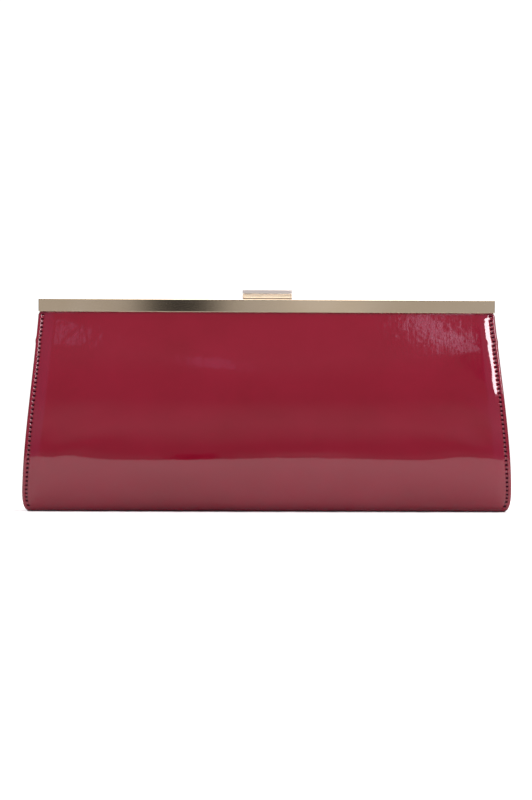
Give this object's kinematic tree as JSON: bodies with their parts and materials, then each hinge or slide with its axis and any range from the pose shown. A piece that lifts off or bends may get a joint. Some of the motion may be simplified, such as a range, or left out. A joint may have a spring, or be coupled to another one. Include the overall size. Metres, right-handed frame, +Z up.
{
  "type": "clutch purse",
  "caption": "Stiff frame clutch bag: glossy leather body on a hinged two-part metal frame that opens wide, closed by a bar clasp at the top.",
  "frame": {"origin": "middle of the flat base, on the surface that the bag stands on", "axes": "+X along the frame to the wearer's right as seen from the front, -Y out of the front panel, +Z up"},
  "size_m": [0.286, 0.055, 0.1309],
  "materials": {
    "patent_leather": "gloss",
    "pale_gold": "polished",
    "frame_steel": "satin",
    "greyboard": "matte",
    "foam": "matte",
    "lining_cloth": "satin",
    "paper_cord": "matte"
  },
  "bodies": {
    "bag": {"front_panel": "patent_leather", "front_panel_fold": "patent_leather", "back_panel": "patent_leather", "back_panel_fold": "patent_leather", "base_panel": "patent_leather", "gusset_left": "patent_leather", "gusset_right": "patent_leather", "gusset_top_left": "patent_leather", "gusset_top_right": "patent_leather", "front_padding": "foam", "back_padding": "foam", "front_board": "greyboard", "back_board": "greyboard", "base_board": "greyboard", "front_lining": "lining_cloth", "back_lining": "lining_cloth", "base_lining": "lining_cloth", "gusset_lining_left": "lining_cloth", "gusset_lining_right": "lining_cloth", "slip_pocket": "lining_cloth", "hinge_rivet_left": "pale_gold", "hinge_rivet_right": "pale_gold", "hinge_washer_left": "frame_steel", "hinge_washer_right": "frame_steel"},
    "front_frame": {"front_rail": "pale_gold", "front_inner_frame": "frame_steel", "front_crimp_cord": "paper_cord", "front_panel_top": "patent_leather", "front_lining_top": "lining_cloth", "clasp_front_bar": "pale_gold", "clasp_front_rivets": "frame_steel"},
    "back_frame": {"back_rail": "pale_gold", "back_inner_frame": "frame_steel", "back_crimp_cord": "paper_cord", "back_panel_top": "patent_leather", "back_lining_top": "lining_cloth", "clasp_back_hook": "pale_gold", "clasp_back_rivets": "frame_steel"}
  },
  "joints": [
    {"name": "front_frame_hinge", "type": "hinge", "parent": "bag", "child": "front_frame", "pos_m": [0, 0, 0.101], "axis": [1, 0, 0], "range_deg": [0, 45], "deforming": ["front_panel_fold", "gusset_top_left", "gusset_top_right"]},
    {"name": "back_frame_hinge", "type": "hinge", "parent": "bag", "child": "back_frame", "pos_m": [0, 0, 0.101], "axis": [-1, 0, 0], "range_deg": [0, 45], "deforming": ["back_panel_fold"]}
  ],
  "couplings": [
    {"joint": "back_frame_hinge", "follows": "front_frame_hinge", "ratio": 1}
  ]
}
